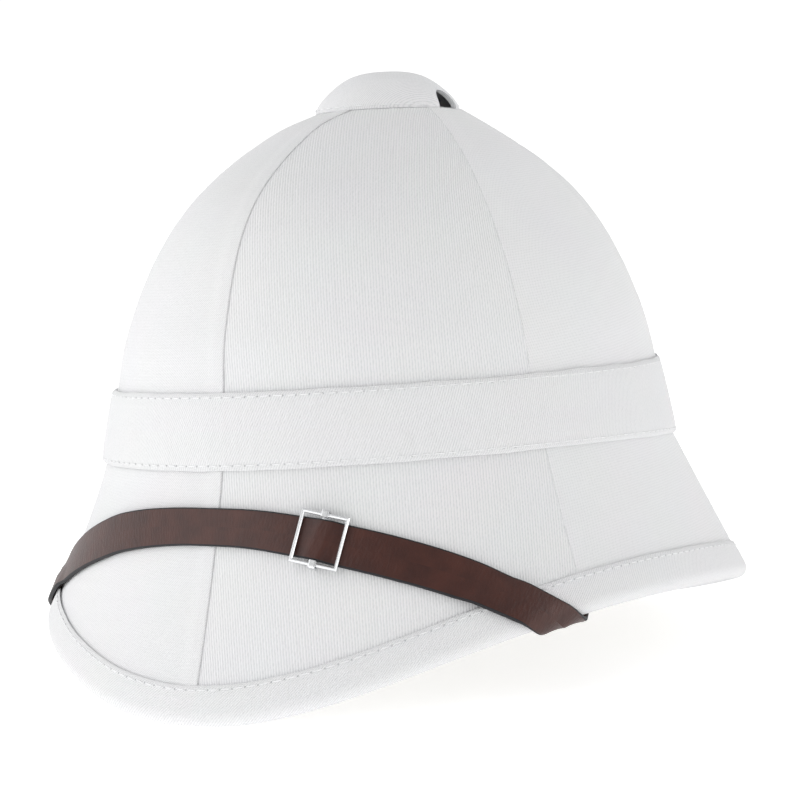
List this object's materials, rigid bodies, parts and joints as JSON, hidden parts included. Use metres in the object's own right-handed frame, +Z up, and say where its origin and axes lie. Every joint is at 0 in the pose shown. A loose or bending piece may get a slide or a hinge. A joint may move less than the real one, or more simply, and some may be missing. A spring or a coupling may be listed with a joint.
{
  "type": "pith helmet",
  "caption": "White twill-covered pith helmet with a flat folded band, a bound sloping brim, a domed ventilator and a leather chin strap worn over the front of the brim.",
  "frame": {"origin": "on the surface that the hat rests on, below the middle of the hat's box", "axes": "-Y to the front of the hat, +X to the wearer's left, +Z up. The hat rests on its front and back rim, so the band leans back by about 3.5 degrees."},
  "size_m": [0.2348, 0.2894, 0.2112],
  "materials": {
    "twill": "white cotton twill, matt",
    "pith": "plain moulded pith, matt",
    "fibre": "vulcanised fibre, matt",
    "leather": "dark reddish-brown strap leather, polished",
    "plated_steel": "bright nickel-plated steel",
    "steel": "plain steel"
  },
  "bodies": {
    "root": {"pith_shell": "pith", "cover_gore_1": "twill", "cover_gore_2": "twill", "cover_gore_3": "twill", "cover_gore_4": "twill", "cover_gore_5": "twill", "cover_gore_6": "twill", "pugaree_band": "twill", "brim_binding": "twill", "vent_cap": "twill", "vent_post": "fibre", "chin_strap": "leather", "buckle_frame": "plated_steel", "buckle_bar": "plated_steel", "strap_stud_left": "steel", "strap_stud_right": "steel"}
  },
  "joints": []
}
